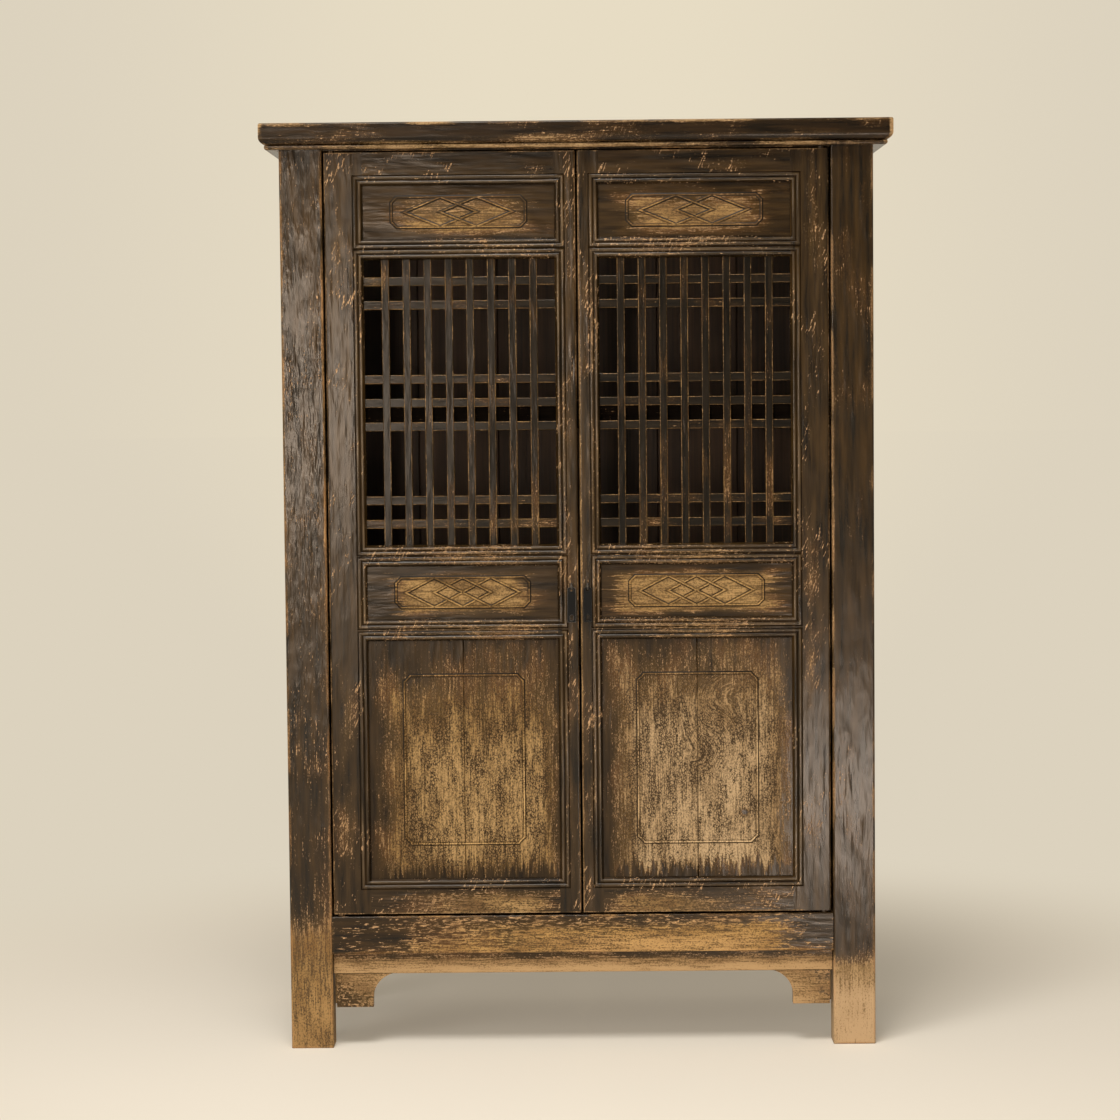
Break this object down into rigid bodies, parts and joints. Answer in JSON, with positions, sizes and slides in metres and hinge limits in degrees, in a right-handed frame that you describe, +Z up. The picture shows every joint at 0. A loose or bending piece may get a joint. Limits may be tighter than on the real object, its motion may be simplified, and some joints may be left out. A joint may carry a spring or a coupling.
{
  "type": "book cabinet",
  "caption": "Tall free-standing book cabinet of frame and panel joinery with hinged doors that have an open lattice and carved panels, iron drop pulls, shelves, shaped apron and moulded cap.",
  "frame": {"origin": "middle of the floor area, on the floor", "axes": "+X to the right seen from the front, +Y to the back, +Z up; the doors face -Y"},
  "size_m": [1.256, 0.548, 1.86],
  "materials": {
    "black_lacquer": "worn black-brown lacquer over elm, rubbed to bare wood on edges",
    "worn_panel": "lacquered panel rubbed to golden bare wood in the middle",
    "side_lacquer": "plain lacquered boards",
    "bare_wood": "aged unlacquered softwood",
    "wrought_iron": "blackened wrought iron"
  },
  "bodies": {
    "carcase": {"apron_front": "black_lacquer", "apron_left": "black_lacquer", "apron_right": "black_lacquer", "back_boards": "bare_wood", "bottom_boards": "bare_wood", "bottom_rail_back": "black_lacquer", "bottom_rail_front": "black_lacquer", "bottom_rail_left": "black_lacquer", "bottom_rail_right": "black_lacquer", "cap_back": "black_lacquer", "cap_board": "black_lacquer", "cap_front": "black_lacquer", "cap_left": "black_lacquer", "cap_right": "black_lacquer", "head_rail_back": "black_lacquer", "head_rail_front": "black_lacquer", "head_rail_left": "black_lacquer", "head_rail_right": "black_lacquer", "leg_back_left": "black_lacquer", "leg_back_right": "black_lacquer", "leg_front_left": "black_lacquer", "leg_front_right": "black_lacquer", "shelf_bearers": "bare_wood", "shelf_lower": "bare_wood", "shelf_rail_lower": "black_lacquer", "shelf_rail_upper": "black_lacquer", "shelf_upper": "bare_wood", "side_panels_left": "side_lacquer", "side_panels_right": "side_lacquer", "spandrel_left": "black_lacquer", "spandrel_right": "black_lacquer", "waist_rail_back": "bare_wood", "waist_rail_left": "black_lacquer", "waist_rail_right": "black_lacquer"},
    "left_door": {"left_door_bottom_rail": "black_lacquer", "left_door_cotter": "wrought_iron", "left_door_lattice": "black_lacquer", "left_door_lower_panel": "worn_panel", "left_door_lower_rail": "black_lacquer", "left_door_middle_panel": "worn_panel", "left_door_middle_rail": "black_lacquer", "left_door_stile_inner": "black_lacquer", "left_door_stile_outer": "black_lacquer", "left_door_top_panel": "worn_panel", "left_door_top_rail": "black_lacquer", "left_door_upper_rail": "black_lacquer"},
    "right_door": {"right_door_bottom_rail": "black_lacquer", "right_door_cotter": "wrought_iron", "right_door_lattice": "black_lacquer", "right_door_lower_panel": "worn_panel", "right_door_lower_rail": "black_lacquer", "right_door_middle_panel": "worn_panel", "right_door_middle_rail": "black_lacquer", "right_door_stile_inner": "black_lacquer", "right_door_stile_outer": "black_lacquer", "right_door_top_panel": "worn_panel", "right_door_top_rail": "black_lacquer", "right_door_upper_rail": "black_lacquer"},
    "left_pull": {"left_door_pull": "wrought_iron"},
    "right_pull": {"right_door_pull": "wrought_iron"}
  },
  "joints": [
    {"name": "left_door_swing", "type": "hinge", "parent": "carcase", "child": "left_door", "pos_m": [-0.4885, -0.223, 1.038], "axis": [0, 0, -1], "range_deg": [0, 100]},
    {"name": "right_door_swing", "type": "hinge", "parent": "carcase", "child": "right_door", "pos_m": [0.4885, -0.223, 1.038], "axis": [0, 0, 1], "range_deg": [0, 100]},
    {"name": "left_pull_swing", "type": "hinge", "parent": "left_door", "child": "left_pull", "pos_m": [-0.0163, -0.241, 0.934], "axis": [-1, 0, 0], "range_deg": [-3, 85]},
    {"name": "right_pull_swing", "type": "hinge", "parent": "right_door", "child": "right_pull", "pos_m": [0.0163, -0.241, 0.934], "axis": [-1, 0, 0], "range_deg": [-3, 85]}
  ]
}
